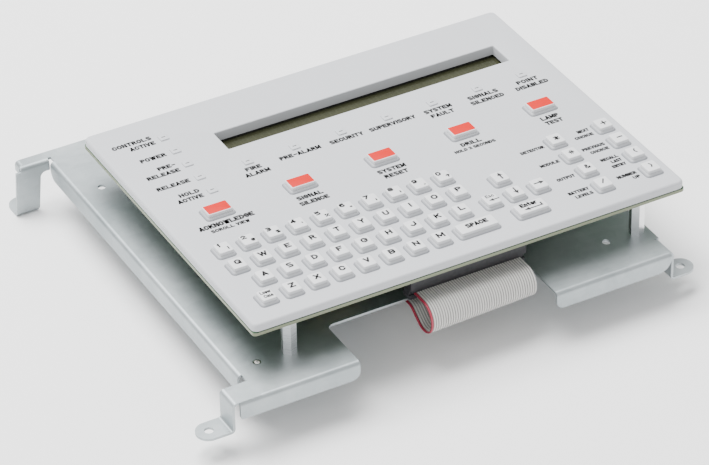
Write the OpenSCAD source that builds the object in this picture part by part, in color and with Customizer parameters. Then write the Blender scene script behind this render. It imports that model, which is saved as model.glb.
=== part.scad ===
// Keyboard and display unit of a fire alarm control panel: a silicone keypad on a
// circuit board with a two-line display, on hex standoffs over a bent steel bracket.
// X runs to the right, Y to the rear and Z up. The origin is midway between the screw
// holes of the two rear feet, at the level of their undersides.

/* [Bracket] */
// Width of the bracket plate
plate_w = 218; // [210:1:224]
// Depth of the bracket plate
plate_d = 224; // [218:1:228]
// Sheet thickness of the bracket
sheet_t = 1.2; // [1:0.1:1.6]
// Outer bend radius of the bracket
bend_r = 2.2; // [2:0.1:2.6]
// Height of the plate's top over the rear feet
plate_top = 27; // [26:0.5:32]
// Height of the plate's top over the front feet
front_drop = 15.9; // [14:0.1:18]
// Depth of the stiffening flanges
flange_drop = 9; // [8:0.5:10]
// Diameter of the foot holes
foot_hole = 4.4; // [4:0.1:4.8]

/* [Boards] */
// Width of the circuit board
board_w = 225.4; // [225:0.1:226]
// Depth of the circuit board
board_d = 174.6; // [174:0.1:175]
// Thickness of the circuit boards
board_t = 1.6; // [1.5:0.1:1.7]
// Length of the hex standoffs
standoff_h = 19.05; // [18.5:0.05:20]
// Size of the standoffs across their flats
standoff_af = 6.35; // [6:0.05:6.4]

/* [Keypad] */
// Thickness of the keypad mat
mat_t = 4.15; // [4:0.05:4.3]
// Pitch of the keys from left to right
key_px = 12.7; // [12.6:0.1:12.9]
// Pitch of the keys from front to rear
key_py = 13.97; // [13.9:0.01:14.1]
// Width of a single key at its foot
key_w = 7.0; // [6.6:0.1:7.2]
// Depth of a single key at its foot
key_d = 7.8; // [7.4:0.1:8]
// Height of the keys over the mat
key_h = 2.8; // [2.6:0.1:3]
// How far a key travels
travel = 1.2; // [1:0.1:1.3]

/* [Ribbon cable] */
// Number of conductors
conductors = 44; // [40:2:44]
// Pitch of the conductors
wire_p = 1.27; // [1.27]
// Thickness of the ribbon
ribbon_t = 0.9; // [0.8:0.1:1]
// Middle radius of the loop at the front
loop_r = 7.5; // [7:0.1:8]

/* [Hidden] */
$fn = 48;

// Edges and levels of the bracket
left = -plate_w / 2;
right = plate_w / 2;
plate_cy = -112.7;
front = plate_cy - plate_d / 2;
rear = plate_cy + plate_d / 2;
in_r = bend_r - sheet_t;
plate_bottom = plate_top - sheet_t;
front_foot_z = plate_top - front_drop;

// Feet: legs half an inch wide, with rounded tabs
leg_w = 12.4;
front_leg_y = front + 1;
front_left_leg_x = left - 11.4;
front_left_hole = 8.9;
front_right_hole = 8;
rear_leg_y = rear - 7.6;
rear_leg_x = -115;
rear_leg_w = 12.4;
leg_lean = 1.5;
arm_end = -123.3;
arm_web_drop = 5.5;
lip_drop = 5;

// Cut-out in the bracket's front edge for the ribbon
cut_left = -56.9;
cut_right = 45.4;
cut_rear = front + 31.4;
cut_r = 3;

// Hole pattern shared by the standoffs and the spare holes beside them
hole_dx = 182.8;
hole_dy = 159.5;
hole_cx = 11.2;
hole_cy = -121.55;
spare_shift = -16.3;
corners = [[-1, -1], [1, -1], [1, 1], [-1, 1]];

// Boards
board_cx = 12.2;
board_cy = -120.2;
board_bottom = plate_top + standoff_h;
board_top = board_bottom + board_t;
mat_top = board_top + mat_t;
key_top = mat_top + key_h;
screw_r = 1.7;
screw_hole_r = 1.8;

// Display window and module
win_cx = 31.25;
win_cy = -69.1;
win_w = 153.3;
win_d = 15.4;
lcd_w = 182;
lcd_d = 33.5;
bezel_w = 164;
bezel_d = 26;
bezel_top = board_bottom - 0.1;
bezel_h = 9.3;
lcd_board_top = bezel_top - bezel_h;
lcd_board_bottom = lcd_board_top - board_t;
lcd_hole_dx = 175;
lcd_hole_dy = 28;

// Status lamps: a column of five and, level with its fourth lamp, a row of seven
lamp_px = 24.82;
lamp_x0 = -68;
lamp_y0 = -53.1;
lamp_row_x0 = -42.9;
lamp_row_y = -91.2;
lamps = concat(
    [for (i = [0:4]) [lamp_x0, lamp_y0 - 12.7 * i]],
    [for (i = [0:6]) [lamp_row_x0 + lamp_px * i, lamp_row_y]]);

// Keys: middle of the key "1", then rows by pitch
key_x0 = -86;
key_y0 = -150.5;
skirt = 1.3;
slide_gap = 0.15;
wide_key = 19.3;
enter_key = 15;
pad_x = 89.3;
pad_x2 = 115.4;
cursor_x = 50.5;
red_w = 12.6;
red_d = 7.9;
red_x0 = -74;
red_px = 43.18;
red_y = -120.9;
pill_gap = 0.05;

function row_y(r) = key_y0 - r * key_py;
function key_at(i, r, shift = 0) = [key_x0 + i * key_px + shift, row_y(r)];

home_shift = key_px / 2;
digit_keys = [for (i = [0:9]) key_at(i, 0)];
upper_keys = [for (i = [0:9]) key_at(i, 1)];
home_keys = [for (i = [0:8]) key_at(i, 2, home_shift)];
lower_keys = [for (i = [1:7]) key_at(i, 3)];
shift_key = key_at(0, 3);
space_key = [key_x0 + 8 * key_px + (wide_key - key_w) / 2, row_y(3)];
up_key = [cursor_x, row_y(1)];
down_key = [cursor_x, row_y(2)];
right_key = [cursor_x + key_px, row_y(2)];
escape_key = [cursor_x - key_px, row_y(2)];
enter_at = [cursor_x, row_y(3)];
pad_keys = concat([for (r = [0:3]) [pad_x, row_y(r)]], [for (r = [0:3]) [pad_x2, row_y(r)]]);
red_keys = [for (i = [0:4]) [red_x0 + red_px * i, red_y]];
single_keys = concat(digit_keys, upper_keys, home_keys, lower_keys, [shift_key],
    [up_key, down_key, right_key, escape_key], pad_keys);

// Ribbon, header and sockets
ribbon_w = conductors * wire_p;
ribbon_x = board_cx;
conn_len = 60.5;
header_d = 8.8;
header_h = 9;
header_y = -197.6;
socket_d = 6.2;
socket_len = 57.9;
exit_z = 34.3;
slot_h = ribbon_t + 0.04;
cover_h = 2.2;
under_z = plate_bottom - 0.35 - ribbon_t / 2;
loop_y = -208.3;
rise_a = 35;
turn_r = 6;
dip_z = 20.6;
dip_a = 30;
clip_y = -174.7;
far_y = -140.7;
pin_p = 2.54;
pins = conductors / 2;

// ---- small shapes ----

// A flat outline with rounded corners, centred
module rounded(w, d, r) {
    square([w - 2 * r, d], center = true);
    square([w, d - 2 * r], center = true);
    for (c = corners) translate([c[0] * (w / 2 - r), c[1] * (d / 2 - r)]) circle(r);
}

// A prism with rounded corners, standing on z
module slab(w, d, h, r, z = 0) {
    translate([0, 0, z]) linear_extrude(h) rounded(w, d, r);
}

// A block whose four sides lean in by the given draft
module leaning(w, d, h, draft, r) {
    intersection() {
        rotate([90, 0, 0]) translate([0, 0, -d]) linear_extrude(2 * d)
            polygon([[-w / 2, 0], [w / 2, 0], [w / 2 - draft, h], [draft - w / 2, h]]);
        rotate([90, 0, 90]) translate([0, 0, -w]) linear_extrude(2 * w)
            polygon([[-d / 2, 0], [d / 2, 0], [d / 2 - draft, h], [draft - d / 2, h]]);
        linear_extrude(h) rounded(w, d, r);
    }
}

// Points along an arc
function arc(c, r, a0, a1, n = 8) =
    [for (k = [0:n]) c + r * [cos(a0 + (a1 - a0) * k / n), sin(a0 + (a1 - a0) * k / n)]];

// Quarter of a bent sheet: centre at the origin, opening towards -x and +y
module quarter_bend() {
    difference() {
        intersection() {
            circle(bend_r);
            translate([-bend_r, 0]) square(bend_r);
        }
        circle(in_r);
    }
}

// ---- bracket ----

// Side profile of a flange: outer face at x = 0, top at y = 0, plate from x = bend_r on
module flange_profile(drop) {
    translate([bend_r, -bend_r]) quarter_bend();
    translate([0, -drop]) square([sheet_t, drop - bend_r]);
}

// A flange that starts at the local origin and runs along +x, with round lower corners
module flange(len, drop, r_start, r_end) {
    intersection() {
        rotate([90, 0, 90]) linear_extrude(len) flange_profile(drop);
        rotate([90, 0, 0]) translate([0, 0, -2 * bend_r]) linear_extrude(4 * bend_r)
            polygon(concat([[0, 1], [0, r_start - drop]],
                arc([r_start, r_start - drop], r_start, 180, 270),
                arc([len - r_end, r_end - drop], r_end, 270, 360), [[len, 1]]));
    }
}

// Rounded foot tab that runs along -x from the origin, with its hole
module foot_tab(len, w) {
    linear_extrude(sheet_t) difference() {
        union() {
            translate([w / 2 - len, -w / 2]) square([len - w / 2, w]);
            translate([w / 2 - len, 0]) circle(w / 2);
        }
        translate([w / 2 - len, 0]) circle(d = foot_hole);
    }
}

// Front leg: outer face at x = 0, plate top at z = 0, foot hole towards -x
module front_leg(hole_x) {
    rotate([90, 0, 0]) translate([0, 0, -leg_w]) linear_extrude(leg_w) {
        translate([bend_r, -bend_r]) quarter_bend();
        translate([0, bend_r - front_drop]) square([sheet_t, front_drop - 2 * bend_r]);
        translate([-in_r, bend_r - front_drop]) rotate(180) quarter_bend();
    }
    translate([-in_r, leg_w / 2, -front_drop]) foot_tab(hole_x - in_r + leg_w / 2, leg_w);
}

// Rear corner: an arm past the plate's side with a turned-down lip at its end, and a
// web bent down at its front that runs on as the leg. The foot turns back under the
// arm. Drawn for the left side.
module rear_arm() {
    fillet = 3;
    web_z = plate_top - arm_web_drop;
    leg_top_z = plate_top - bend_r - 0.2;
    foot_x = rear_leg_x - rear_leg_w / 2;
    // Arm and lip
    translate([arm_end + bend_r, rear_leg_y + bend_r, plate_bottom])
        cube([left - arm_end, rear - rear_leg_y - bend_r, sheet_t]);
    translate([arm_end, rear, plate_top]) rotate([90, 0, 0])
        linear_extrude(rear - rear_leg_y - bend_r - 0.2) flange_profile(lip_drop);
    // Web and leg in one bent sheet
    intersection() {
        translate([-150, rear_leg_y, plate_top]) rotate([90, 0, 90]) linear_extrude(50) {
            translate([bend_r, -bend_r]) quarter_bend();
            translate([0, bend_r - plate_top]) square([sheet_t, plate_top - 2 * bend_r]);
            translate([bend_r, bend_r - plate_top]) rotate(90) quarter_bend();
        }
        translate([0, rear, 0]) rotate([90, 0, 0]) linear_extrude(plate_d)
            polygon(concat([[rear_leg_x - rear_leg_w, 0]],
                arc([rear_leg_x - 3, 3], 3, 270, 360),
                arc([rear_leg_x + leg_lean + fillet, web_z - fillet], fillet, 180, 90),
                [[left + 0.6, web_z], [left + 0.6, plate_top + 1], [arm_end + 0.1, plate_top + 1],
                [arm_end + 0.1, leg_top_z], [rear_leg_x - rear_leg_w + leg_lean, leg_top_z]]));
    }
    // Foot
    translate([foot_x, rear_leg_y + bend_r, 0]) rotate(-90)
        foot_tab(-rear_leg_y - bend_r + rear_leg_w / 2, rear_leg_w);
}

module plate_outline() {
    difference() {
        translate([left + bend_r, front + bend_r])
            square([plate_w - bend_r, plate_d - bend_r]);
        // Ribbon cut-out
        translate([cut_left, front - 1]) square([cut_right - cut_left, 32.4 - cut_r]);
        translate([cut_left + cut_r, front - 1])
            square([cut_right - cut_left - 2 * cut_r, 32.4]);
        translate([cut_left + cut_r, cut_rear - cut_r]) circle(cut_r);
        translate([cut_right - cut_r, cut_rear - cut_r]) circle(cut_r);
        // Standoff screws and the spare holes beside them
        for (c = corners) translate([hole_cx + c[0] * hole_dx / 2, hole_cy + c[1] * hole_dy / 2]) {
            circle(screw_hole_r);
            translate([spare_shift, 0]) circle(2);
        }
        // Relief behind the front right leg
        translate([right - bend_r, front_leg_y + leg_w]) square([bend_r + 1, 0.8]);
        translate([right - bend_r, front_leg_y]) square([bend_r + 1, leg_w]);
    }
    // Tab that carries the front left leg
    translate([front_left_leg_x + bend_r, front_leg_y])
        square([left - front_left_leg_x + 1, leg_w]);
    translate([front_left_leg_x + bend_r, front + bend_r])
        square([left - front_left_leg_x + 1, 2]);
    // Strips between the side flange and the corners
    translate([left, rear_leg_y + bend_r]) square([bend_r + 1, rear - rear_leg_y - bend_r]);
}

module mounting_bracket() color("#aeb6b9") {
    translate([0, 0, plate_bottom]) linear_extrude(sheet_t) plate_outline();
    // Left side flange
    translate([left, rear_leg_y - 2, plate_top]) rotate(-90)
        flange(rear_leg_y - 2 - (front_leg_y + leg_w + 5), flange_drop, 5, 1.5);
    // Front flange, on both sides of the cut-out
    translate([front_left_leg_x + 3.6, front, plate_top])
        flange(cut_left - front_left_leg_x - 3.6, flange_drop, 1.5, 4);
    translate([cut_right, front, plate_top])
        flange(right - bend_r + 0.6 - cut_right, flange_drop, 4, 7);
    translate([front_left_leg_x, front_leg_y, plate_top]) front_leg(front_left_hole);
    translate([right, front_leg_y, plate_top]) mirror([1, 0, 0]) front_leg(front_right_hole);
    rear_arm();
    mirror([1, 0, 0]) rear_arm();
}

// Self-clinching nut in the spare hole at the front left
module clinch_nut() color("silver")
    translate([hole_cx - hole_dx / 2 + spare_shift, hole_cy - hole_dy / 2, 0]) difference() {
        union() {
            translate([0, 0, plate_bottom - 0.1]) cylinder(r = 1.95, h = sheet_t);
            translate([0, 0, plate_bottom - 2.2]) cylinder(r = 3.2, h = 2.18);
        }
        translate([0, 0, plate_bottom - 3]) cylinder(r = 1.3, h = 5);
    }

// ---- fasteners ----

module at_standoffs() {
    for (c = corners)
        translate([hole_cx + c[0] * hole_dx / 2, hole_cy + c[1] * hole_dy / 2, 0]) children();
}

module hex_standoffs() color("gainsboro") at_standoffs() translate([0, 0, plate_top])
    difference() {
        rotate(18) cylinder(d = standoff_af / cos(30), h = standoff_h, $fn = 6);
        translate([0, 0, -1]) cylinder(r = screw_r + 0.05, h = standoff_h + 2);
    }

module screw(head_r, head_h, shank_r, len) {
    difference() {
        cylinder(r = head_r, h = head_h);
        translate([0, 0, head_h]) cube([head_r * 1.3, 0.6, 1.4], center = true);
        translate([0, 0, head_h]) cube([0.6, head_r * 1.3, 1.4], center = true);
    }
    translate([0, 0, -len]) cylinder(r = shank_r, h = len + 0.01);
}

module upper_screws() color("silver") at_standoffs() translate([0, 0, board_top])
    screw(2.75, 1.8, screw_r, 8);

module lower_screws() color("silver") at_standoffs() translate([0, 0, plate_bottom])
    mirror([0, 0, 1]) screw(2.75, 1.8, screw_r, 8);

// ---- circuit board ----

module circuit_board() color("olivedrab") difference() {
    translate([board_cx, board_cy, 0]) slab(board_w, board_d, board_t, 2, board_bottom);
    translate([win_cx, win_cy, 0]) slab(win_w + 5.6, win_d + 4.8, board_t + 2, 1, board_bottom - 1);
    at_standoffs() translate([0, 0, board_bottom - 1]) cylinder(r = screw_hole_r, h = board_t + 2);
}

// ---- display ----

module lcd_board() color("darkgreen") translate([win_cx, win_cy, 0]) difference() {
    slab(lcd_w, lcd_d, board_t, 1, lcd_board_bottom);
    for (c = corners) translate([c[0] * lcd_hole_dx / 2, c[1] * lcd_hole_dy / 2, lcd_board_bottom - 1])
        cylinder(r = 1.35, h = board_t + 2);
}

module lcd_bezel() color("#1b1b1b") translate([win_cx, win_cy, 0]) difference() {
    slab(bezel_w, bezel_d, bezel_h, 0.8, lcd_board_top);
    slab(bezel_w - 1.2, bezel_d - 1.2, bezel_h - 0.7, 0.4, lcd_board_top - 0.1);
    slab(154.8, 16.9, 3, 0.3, bezel_top - 2);
}

glass_h = 2.2;
module lcd_glass() color("#55583c") translate([win_cx, win_cy, 0])
    slab(160, 23.5, glass_h, 0.3, bezel_top - 0.85 - glass_h);

module lcd_backlight() color("whitesmoke") translate([win_cx, win_cy, 0])
    slab(160, 23.5, bezel_h - 0.9 - glass_h - 0.05, 0.3, lcd_board_top);

module at_lcd_corners() {
    for (c = corners) translate([win_cx + c[0] * lcd_hole_dx / 2, win_cy + c[1] * lcd_hole_dy / 2, 0])
        children();
}

module lcd_spacers() color("gainsboro") at_lcd_corners() difference() {
    translate([0, 0, lcd_board_top]) cylinder(r = 2.4, h = board_bottom - lcd_board_top);
    translate([0, 0, lcd_board_top - 1]) cylinder(r = 1.3, h = 8);
}

module lcd_screws() color("silver") at_lcd_corners() translate([0, 0, lcd_board_bottom])
    mirror([0, 0, 1]) screw(2.3, 1.5, 1.25, 6);

module lcd_pin_strip() color("#222222") translate([-20, win_cy + lcd_d / 2 - 1.9, 0]) {
    translate([-14 * pin_p / 2, -1.25, lcd_board_top]) cube([14 * pin_p, 2.5, 2.5]);
    for (i = [0:13])
        translate([(i - 6.5) * pin_p - 0.32, -0.32, lcd_board_top + 2.4])
            cube([0.64, 0.64, board_bottom - lcd_board_top - 2.4]);
}

// ---- status lamps ----

module status_leds() color("#e8e4d8") for (p = lamps) translate([p[0], p[1], board_top]) {
    cylinder(r = 1.45, h = 1.7);
    translate([0, 0, 1.7]) intersection() {
        sphere(r = 1.45);
        translate([-2, -2, -0.01]) cube([4, 4, 3]);
    }
}

// ---- keypad ----

module mat_pocket(p, w, d) {
    translate([p[0], p[1], 0])
        slab(w + 2 * skirt + 2 * slide_gap, d + 2 * skirt + 2 * slide_gap, mat_t + 2, 2, board_top - 1);
}

module keypad_mat() color("#e4e6ea") difference() {
    union() {
        translate([board_cx, board_cy, 0]) {
            slab(board_w - 0.5, board_d - 0.5, mat_t - 0.6, 2.6, board_top);
            slab(board_w - 1.3, board_d - 1.3, mat_t, 2.2, board_top);
        }
        // Lip that hangs through the board round the display window
        translate([win_cx, win_cy, 0]) slab(win_w + 4.4, win_d + 3.6, mat_t, 1, board_top - 1.05);
        for (p = lamps) translate([p[0], p[1], 0]) slab(5, 3, 0.25, 1.2, mat_top - 0.05);
    }
    translate([win_cx, win_cy, 0]) slab(win_w, win_d, mat_t + 4, 0.4, board_top - 2);
    for (p = single_keys) mat_pocket(p, key_w, key_d);
    for (p = red_keys) mat_pocket(p, red_w, red_d);
    mat_pocket(space_key, wide_key, key_d);
    mat_pocket(enter_at, enter_key, key_d);
    for (p = lamps) translate([p[0], p[1], 0]) {
        translate([0, 0, board_top - 1]) cylinder(r = 2, h = 4.4);
        slab(1.9, 0.8, 3, 0.3, mat_top - 1.5);
    }
    at_standoffs() translate([0, 0, board_top - 1]) cylinder(r = 3.1, h = 3.3);
    // Notch in the left edge
    translate([board_cx - board_w / 2, -117.3, board_top - 1]) cylinder(r = 1.2, h = mat_t + 2);
}

// One key: skirt in its pocket, sloping collar, head, and the contact pill below
module key(p, w = key_w, d = key_d) {
    collar = 0.9;
    skirt_h = 2.4;
    pill = 0.5;
    translate([p[0], p[1], mat_top]) {
        slab(w + 2 * skirt, d + 2 * skirt, skirt_h, 1.9, -skirt_h);
        translate([0, 0, -0.01]) leaning(w + 2 * skirt, d + 2 * skirt, collar, 1.1, 1.9);
        translate([0, 0, collar - 0.1]) leaning(w, d, key_h - collar + 0.1, 0.15, 0.9);
        translate([0, 0, -skirt_h - pill]) cylinder(r = 2.2, h = pill + 0.01);
    }
}

module white_key(p, w = key_w) color("#eef0f2") key(p, w);

module red_button(p) color("#fb6f68") key(p, red_w, red_d);

// ---- ribbon cable ----

loop_c = [loop_y, exit_z - loop_r];
rise_from = loop_c + loop_r * [sin(rise_a), -cos(rise_a)];
turn_drop = turn_r * (1 - cos(rise_a));
rise_len = (under_z - turn_drop - rise_from[1]) / sin(rise_a);
rise_to = rise_from + rise_len * [cos(rise_a), sin(rise_a)];
turn_c = rise_to + turn_r * [sin(rise_a), -cos(rise_a)];
dip_from = [clip_y + 12, under_z];
dip_len = (under_z - dip_z - 2 * turn_r * (1 - cos(dip_a))) / sin(dip_a);
dip_c1 = dip_from + [0, -turn_r];
dip_p1 = dip_c1 + turn_r * [sin(dip_a), cos(dip_a)];
dip_p2 = dip_p1 + dip_len * [cos(dip_a), -sin(dip_a)];
dip_c2 = dip_p2 + turn_r * [sin(dip_a), cos(dip_a)];

// Points of one face of the ribbon, at a signed distance from its middle line
function ribbon_face(e) = concat(
    [[header_y + socket_d / 2, exit_z + e]],
    arc(loop_c, loop_r + e, 90, 270 + rise_a, 24),
    arc(turn_c, turn_r - e, 90 + rise_a, 90, 6),
    arc(dip_c1, turn_r - e, 90, 90 - dip_a, 6),
    arc(dip_c2, turn_r + e, 270 - dip_a, 270, 6),
    [[far_y + socket_d / 2, dip_z - e]]);

function reversed(v) = [for (i = [len(v) - 1:-1:0]) v[i]];

// Side view of the ribbon: out of the socket, round the loop in front of the bracket,
// up under the plate, along it, and down into the far socket
module ribbon_profile() {
    polygon(concat(ribbon_face(ribbon_t / 2), reversed(ribbon_face(-ribbon_t / 2))));
}

module ribbon_cable() color("#c8c6c2")
    translate([ribbon_x - ribbon_w / 2, 0, 0]) rotate([90, 0, 90]) linear_extrude(ribbon_w)
        ribbon_profile();

// Socket on the ribbon: contact block with its slots, cover, and the two end latches.
// The ribbon lies at z = 0 and the mouth faces +z.
module idc_socket() {
    body_h = 9.6;
    difference() {
        union() {
            translate([0, 0, slot_h / 2]) translate([-socket_len / 2, -socket_d / 2, 0])
                cube([socket_len, socket_d, body_h]);
            translate([-conn_len / 2, -socket_d / 2, -slot_h / 2 - cover_h])
                cube([conn_len, socket_d, cover_h]);
            for (s = [-1, 1]) translate([s * (conn_len / 2 - 1.1) - 1.1, -2.2, -slot_h / 2 - 0.5])
                cube([2.2, 4.4, slot_h + 2.5]);
        }
        for (s = [-1, 1]) translate([0, s * pin_p / 2, slot_h / 2 + body_h - 3])
            cube([pins * pin_p + 0.4, 1, 6.4], center = true);
    }
}

module ribbon_socket() color("#262629") translate([ribbon_x, header_y, exit_z]) idc_socket();

module far_socket() color("#262629")
    translate([ribbon_x, far_y, dip_z]) mirror([0, 0, 1]) idc_socket();

header_floor = 1.5;
module ribbon_header() color("#2a2a2d")
    translate([ribbon_x, header_y, board_bottom - header_h]) difference() {
        translate([-conn_len / 2, -header_d / 2, 0]) cube([conn_len, header_d, header_h]);
        translate([-socket_len / 2 - 0.1, -socket_d / 2 - 0.1, -1])
            cube([socket_len + 0.2, socket_d + 0.2, header_h - header_floor + 1]);
    }

module header_pins() color("gold")
    for (i = [0:pins - 1], s = [-1, 1])
        translate([ribbon_x + (i - (pins - 1) / 2) * pin_p - 0.32, header_y + s * pin_p / 2 - 0.32,
                board_bottom - header_floor - 4])
            cube([0.64, 0.64, 4]);

module cable_clip() color("#d8d8d4") translate([ribbon_x, clip_y, 0]) {
    strap_top = under_z - ribbon_t / 2 - 0.05;
    translate([-32, -6, strap_top - 1.1]) cube([64, 12, 1.1]);
    for (s = [-1, 1]) translate([s * 30.2 - 1.8, -6, strap_top - 0.1])
        cube([3.6, 12, plate_bottom - strap_top + 0.1]);
}

// ---- chips on the underside of the board ----

module lead_row(n, p, len, h) {
    for (i = [0:n - 1]) translate([(i - (n - 1) / 2) * p - 0.25, 0, -h]) cube([0.5, len, h]);
}

module controller_chip() color("#202022") translate([-45, -134.7, board_bottom]) {
    translate([-8.3, -8.3, -4.2]) cube([16.6, 16.6, 3.9]);
    for (a = [0:90:270]) rotate(a) translate([0, 8.29, 0]) lead_row(11, 1.27, 0.5, 3);
}

module driver_chips() color("#202022") for (x = [-12, 22]) translate([x, -134.7, board_bottom]) {
    translate([-12.7, -3.2, -3.9]) cube([25.4, 6.4, 3.3]);
    for (a = [0, 180]) rotate(a) translate([0, 3.19, 0]) lead_row(10, pin_p, 0.8, 2.4);
}

module resistor_networks() color("#8a6a2c") for (y = [-158.7, -166.7]) translate([-40, y, board_bottom]) {
    translate([-11.4, -1.2, -5.6]) cube([22.8, 2.4, 5]);
    translate([0, -0.2, 0]) lead_row(9, pin_p, 0.4, 0.7);
}

trimmer_at = [64, -132.7];
rotor_r = 2.6;
module trimmer_body() color("#3a62b0") translate([trimmer_at[0], trimmer_at[1], board_bottom])
    difference() {
        translate([-4.75, -4.75, -4.8]) cube([9.5, 9.5, 4.8]);
        translate([0, 0, -5]) cylinder(r = rotor_r + 0.05, h = 2.5);
    }

module trimmer_rotor() color("white") translate([trimmer_at[0], trimmer_at[1], board_bottom])
    difference() {
        translate([0, 0, -5.1]) cylinder(r = rotor_r, h = 2.5);
        translate([0, 0, -5.1]) cube([4.2, 0.7, 1.6], center = true);
    }

// ---- everything in place ----

mounting_bracket();
clinch_nut();
hex_standoffs();
lower_screws();
upper_screws();
circuit_board();
keypad_mat();
lcd_board();
lcd_bezel();
lcd_glass();
lcd_backlight();
lcd_spacers();
lcd_screws();
lcd_pin_strip();
status_leds();
ribbon_header();
header_pins();
ribbon_socket();
ribbon_cable();
far_socket();
cable_clip();
controller_chip();
driver_chips();
resistor_networks();
trimmer_body();
trimmer_rotor();
red_button(red_keys[0]);  // acknowledge_button
red_button(red_keys[1]);  // silence_button
red_button(red_keys[2]);  // reset_button
red_button(red_keys[3]);  // drill_button
red_button(red_keys[4]);  // lamp_test_button
white_key(pad_keys[0]);  // key_star
white_key(pad_keys[1]);  // key_hash
white_key(pad_keys[2]);  // key_ampersand
white_key(pad_keys[3]);  // key_slash
white_key(pad_keys[4]);  // key_plus
white_key(pad_keys[5]);  // key_minus
white_key(pad_keys[6]);  // key_open_bracket
white_key(pad_keys[7]);  // key_close_bracket
white_key(up_key);  // key_up
white_key(down_key);  // key_down
white_key(right_key);  // key_right
white_key(escape_key);  // key_escape
white_key(enter_at, enter_key);  // key_enter
white_key(space_key, wide_key);  // key_space
white_key(shift_key);  // key_lower_case
white_key(digit_keys[0]);  // key_1
white_key(digit_keys[1]);  // key_2
white_key(digit_keys[2]);  // key_3
white_key(digit_keys[3]);  // key_4
white_key(digit_keys[4]);  // key_5
white_key(digit_keys[5]);  // key_6
white_key(digit_keys[6]);  // key_7
white_key(digit_keys[7]);  // key_8
white_key(digit_keys[8]);  // key_9
white_key(digit_keys[9]);  // key_0
for (p = upper_keys) white_key(p);  // letters_upper_row
for (p = home_keys) white_key(p);  // letters_home_row
for (p = lower_keys) white_key(p);  // letters_lower_row
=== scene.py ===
import math

import bmesh
import bpy
from mathutils import Matrix, Vector


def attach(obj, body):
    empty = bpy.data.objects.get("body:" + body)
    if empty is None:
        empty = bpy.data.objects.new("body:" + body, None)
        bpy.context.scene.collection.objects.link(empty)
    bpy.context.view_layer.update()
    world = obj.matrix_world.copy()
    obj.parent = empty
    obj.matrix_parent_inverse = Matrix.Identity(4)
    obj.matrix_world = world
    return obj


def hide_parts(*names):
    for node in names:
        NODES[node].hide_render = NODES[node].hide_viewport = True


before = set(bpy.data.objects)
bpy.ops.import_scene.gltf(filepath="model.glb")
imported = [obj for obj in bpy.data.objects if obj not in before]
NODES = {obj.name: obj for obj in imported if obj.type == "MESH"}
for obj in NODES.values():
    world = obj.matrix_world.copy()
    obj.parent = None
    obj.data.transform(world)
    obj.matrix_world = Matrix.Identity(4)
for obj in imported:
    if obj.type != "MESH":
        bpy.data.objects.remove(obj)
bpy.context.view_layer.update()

MM = 0.001


# ---- Camera ----
# A long lens from the front left and above, at the height of a tabletop product view.
# It looks down the keypad from its lower left corner.
camera_data = bpy.data.cameras.new("camera")
camera_data.sensor_width = 36
camera_data.lens = 184.5
camera_data.clip_start = 0.05
camera_data.clip_end = 20
camera = bpy.data.objects.new("camera", camera_data)
bpy.context.scene.collection.objects.link(camera)
bpy.context.scene.camera = camera
cam_right = Vector((0.8759, -0.4822, -0.0184)).normalized()
cam_up = Vector((0.2902, 0.4958, 0.8185)).normalized()
cam_back = cam_right.cross(cam_up).normalized()
cam_up = cam_back.cross(cam_right)
camera.matrix_world = Matrix.Translation((-0.6639, -1.3590, 0.9996)) @ Matrix(
    (cam_right, cam_up, cam_back)).transposed().to_4x4()


# ---- Bracket ----
# One piece of 1.2 mm zinc-plated steel sheet, punched and then bent: a plate with
# stiffening flanges, and four legs that end in screw feet. Satin, bluish zinc with a
# fine rolling grain along the sheet, cloudy patches and small spangle flakes.
class Sock:
    """A value in a material's node tree, with arithmetic."""

    def __init__(self, mat, socket):
        self.mat = mat
        self.socket = socket

    def math(self, operation, *others, clamp=False):
        return self.mat.node("ShaderNodeMath", {"operation": operation, "use_clamp": clamp},
                             [self, *others])

    def __add__(self, other):
        return self.math("ADD", other)

    def __sub__(self, other):
        return self.math("SUBTRACT", other)

    def __mul__(self, other):
        return self.math("MULTIPLY", other)

    def __truediv__(self, other):
        return self.math("DIVIDE", other)

    def __rsub__(self, other):
        return self.mat.node("ShaderNodeMath", {"operation": "SUBTRACT"}, [other, self])

    __radd__ = __add__
    __rmul__ = __mul__

    def above(self, edge):
        return self.math("GREATER_THAN", edge)

    def below(self, edge):
        return self.math("LESS_THAN", edge)

    def ramp(self, low, high, out_low=0.0, out_high=1.0):
        return self.mat.node("ShaderNodeMapRange", {"clamp": True},
                             [self, low, high, out_low, out_high])


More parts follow.
